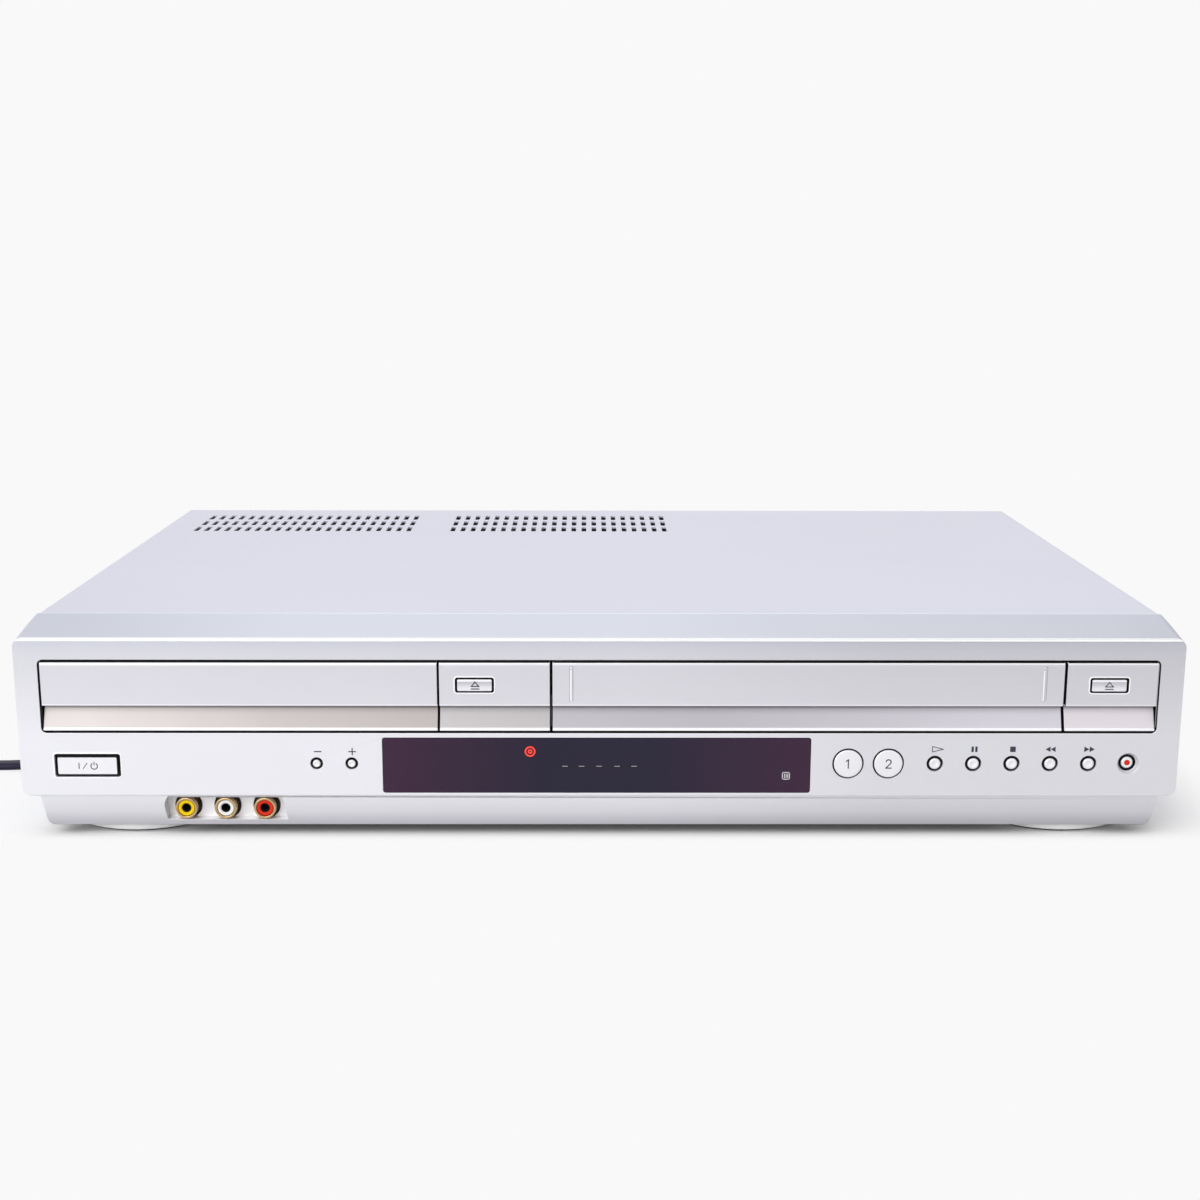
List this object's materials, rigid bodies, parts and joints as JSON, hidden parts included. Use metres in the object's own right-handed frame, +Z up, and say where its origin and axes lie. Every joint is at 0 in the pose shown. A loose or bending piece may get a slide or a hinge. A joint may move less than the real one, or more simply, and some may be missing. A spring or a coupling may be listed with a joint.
{
  "type": "dvd vcr combo player",
  "caption": "Flat silver player with a disc tray behind one front door, a cassette slot behind another, a dark display window, front jacks and a power cord.",
  "frame": {"origin": "on the floor under the middle of the player, cord left out", "axes": "+X to the viewer's right along the front, +Y towards the rear panel, +Z up"},
  "size_m": [0.5935, 0.3491, 0.082],
  "materials": {
    "silver_plastic": "satin silver paint",
    "champagne_silver": "satin silver paint",
    "painted_cover": "satin silver paint",
    "zinc_steel": "zinc plated",
    "screw_steel": "blackened",
    "black_plastic": "matte",
    "dark_plastic": "matte",
    "black_rubber": "matte",
    "smoked_window": "polished",
    "gilt_brass": "plated",
    "nickel": "plated",
    "yellow_plastic": "gloss",
    "white_plastic": "gloss",
    "red_plastic": "gloss",
    "green_plastic": "gloss",
    "cord_plastic": "satin",
    "circuit_board": "satin",
    "dark_metal": "cast",
    "drum_alloy": "turned"
  },
  "bodies": {
    "case": {"front_bezel": "silver_plastic", "top_cover": "painted_cover", "chassis_base": "zinc_steel", "rear_panel": "zinc_steel", "cover_screws": "screw_steel", "front_feet": "silver_plastic", "rear_feet": "black_plastic", "foot_pads": "black_rubber", "display_window": "smoked_window", "centre_trim": "champagne_silver", "right_trim": "champagne_silver", "front_jack_block": "black_plastic", "rear_jack_block": "black_plastic", "jack_barrels": "gilt_brass", "yellow_inserts": "yellow_plastic", "white_inserts": "white_plastic", "red_inserts": "red_plastic", "component_inserts": "green_plastic", "tuner_module": "zinc_steel", "antenna_sockets": "nickel", "strain_relief": "black_plastic", "power_cord": "cord_plastic", "cord_coil": "cord_plastic", "plug_body": "cord_plastic", "plug_blades": "gilt_brass", "main_board": "circuit_board", "power_supply": "circuit_board", "control_board": "circuit_board", "display_tube": "smoked_window", "loader_frame": "dark_plastic", "deck_chassis": "zinc_steel", "tape_path": "nickel", "lower_drum": "drum_alloy"},
    "power_button": {"power_button": "silver_plastic"},
    "disc_eject_button": {"disc_eject_button": "silver_plastic"},
    "cassette_eject_button": {"cassette_eject_button": "silver_plastic"},
    "channel_down_button": {"channel_down_button": "silver_plastic"},
    "channel_up_button": {"channel_up_button": "silver_plastic"},
    "select_one_button": {"select_one_button": "silver_plastic"},
    "select_two_button": {"select_two_button": "silver_plastic"},
    "play_button": {"play_button": "silver_plastic"},
    "pause_button": {"pause_button": "silver_plastic"},
    "stop_button": {"stop_button": "silver_plastic"},
    "rewind_button": {"rewind_button": "silver_plastic"},
    "forward_button": {"forward_button": "silver_plastic"},
    "record_button": {"record_button": "silver_plastic"},
    "door": {"cassette_door": "champagne_silver"},
    "tray": {"tray_door": "champagne_silver", "disc_tray": "dark_plastic"},
    "gear": {"tray_gear": "white_plastic"},
    "traverse": {"traverse": "zinc_steel"},
    "turntable": {"turntable": "black_plastic"},
    "pickup": {"optical_pickup": "dark_metal"},
    "drum": {"upper_drum": "drum_alloy"},
    "capstan": {"capstan": "nickel"},
    "pinch": {"pinch_roller": "black_rubber"},
    "supply": {"supply_reel": "dark_plastic"},
    "takeup": {"takeup_reel": "dark_plastic"},
    "slider": {"carriage_slider": "zinc_steel"},
    "carriage": {"cassette_carriage": "zinc_steel"}
  },
  "joints": [
    {"name": "power_button_press", "type": "slide", "parent": "case", "child": "power_button", "axis": [0, 1, 0], "range_m": [0, 0.0008], "stiffness_N_per_m": 400, "springref_m": -0.0006},
    {"name": "disc_eject_button_press", "type": "slide", "parent": "case", "child": "disc_eject_button", "axis": [0, 1, 0], "range_m": [0, 0.0008], "stiffness_N_per_m": 400, "springref_m": -0.0006},
    {"name": "cassette_eject_button_press", "type": "slide", "parent": "case", "child": "cassette_eject_button", "axis": [0, 1, 0], "range_m": [0, 0.0008], "stiffness_N_per_m": 400, "springref_m": -0.0006},
    {"name": "channel_down_button_press", "type": "slide", "parent": "case", "child": "channel_down_button", "axis": [0, 1, 0], "range_m": [0, 0.0008], "stiffness_N_per_m": 400, "springref_m": -0.0006},
    {"name": "channel_up_button_press", "type": "slide", "parent": "case", "child": "channel_up_button", "axis": [0, 1, 0], "range_m": [0, 0.0008], "stiffness_N_per_m": 400, "springref_m": -0.0006},
    {"name": "select_one_button_press", "type": "slide", "parent": "case", "child": "select_one_button", "axis": [0, 1, 0], "range_m": [0, 0.0008], "stiffness_N_per_m": 400, "springref_m": -0.0006},
    {"name": "select_two_button_press", "type": "slide", "parent": "case", "child": "select_two_button", "axis": [0, 1, 0], "range_m": [0, 0.0008], "stiffness_N_per_m": 400, "springref_m": -0.0006},
    {"name": "play_button_press", "type": "slide", "parent": "case", "child": "play_button", "axis": [0, 1, 0], "range_m": [0, 0.0008], "stiffness_N_per_m": 400, "springref_m": -0.0006},
    {"name": "pause_button_press", "type": "slide", "parent": "case", "child": "pause_button", "axis": [0, 1, 0], "range_m": [0, 0.0008], "stiffness_N_per_m": 400, "springref_m": -0.0006},
    {"name": "stop_button_press", "type": "slide", "parent": "case", "child": "stop_button", "axis": [0, 1, 0], "range_m": [0, 0.0008], "stiffness_N_per_m": 400, "springref_m": -0.0006},
    {"name": "rewind_button_press", "type": "slide", "parent": "case", "child": "rewind_button", "axis": [0, 1, 0], "range_m": [0, 0.0008], "stiffness_N_per_m": 400, "springref_m": -0.0006},
    {"name": "forward_button_press", "type": "slide", "parent": "case", "child": "forward_button", "axis": [0, 1, 0], "range_m": [0, 0.0008], "stiffness_N_per_m": 400, "springref_m": -0.0006},
    {"name": "record_button_press", "type": "slide", "parent": "case", "child": "record_button", "axis": [0, 1, 0], "range_m": [0, 0.0008], "stiffness_N_per_m": 400, "springref_m": -0.0006},
    {"name": "cassette_door_swing", "type": "hinge", "parent": "case", "child": "door", "pos_m": [0.0766, -0.1352, 0.0728], "axis": [1, 0, 0], "range_deg": [0, 88], "stiffness_Nm_per_rad": 0.02, "springref_deg": -34.38},
    {"name": "tray_slide", "type": "slide", "parent": "case", "child": "tray", "axis": [0, -1, 0], "range_m": [0, 0.135]},
    {"name": "tray_gear_turn", "type": "hinge", "parent": "case", "child": "gear", "pos_m": [-0.0909, -0.0973, 0.0464], "axis": [0, 0, 1], "range_deg": [-800, 800]},
    {"name": "traverse_tilt", "type": "hinge", "parent": "case", "child": "traverse", "pos_m": [-0.1329, 0.0208, 0.0389], "axis": [1, 0, 0], "range_deg": [0, 3]},
    {"name": "turntable_spin", "type": "hinge", "parent": "traverse", "child": "turntable", "pos_m": [-0.1329, -0.0652, 0.0486], "axis": [0, 0, 1], "continuous": true},
    {"name": "pickup_slide", "type": "slide", "parent": "traverse", "child": "pickup", "axis": [0, 1, 0], "range_m": [0, 0.034]},
    {"name": "drum_spin", "type": "hinge", "parent": "case", "child": "drum", "pos_m": [0.0766, 0.0517, 0.0272], "axis": [0, 0, 1], "continuous": true},
    {"name": "capstan_spin", "type": "hinge", "parent": "case", "child": "capstan", "pos_m": [0.1386, 0.0297, 0.0272], "axis": [0, 0, 1], "continuous": true},
    {"name": "pinch_spin", "type": "hinge", "parent": "case", "child": "pinch", "pos_m": [0.1486, 0.0417, 0.0272], "axis": [0, 0, 1], "continuous": true},
    {"name": "supply_reel_spin", "type": "hinge", "parent": "case", "child": "supply", "pos_m": [0.0301, -0.0463, 0.0272], "axis": [0, 0, 1], "continuous": true},
    {"name": "takeup_reel_spin", "type": "hinge", "parent": "case", "child": "takeup", "pos_m": [0.1231, -0.0463, 0.0272], "axis": [0, 0, 1], "continuous": true},
    {"name": "carriage_in", "type": "slide", "parent": "case", "child": "slider", "axis": [0, 1, 0], "range_m": [0, 0.055]},
    {"name": "carriage_down", "type": "slide", "parent": "slider", "child": "carriage", "axis": [0, 0, -1], "range_m": [0, 0.0135]}
  ],
  "couplings": [
    {"joint": "tray_gear_turn", "follows": "tray_slide", "rad_per_m": -100}
  ]
}
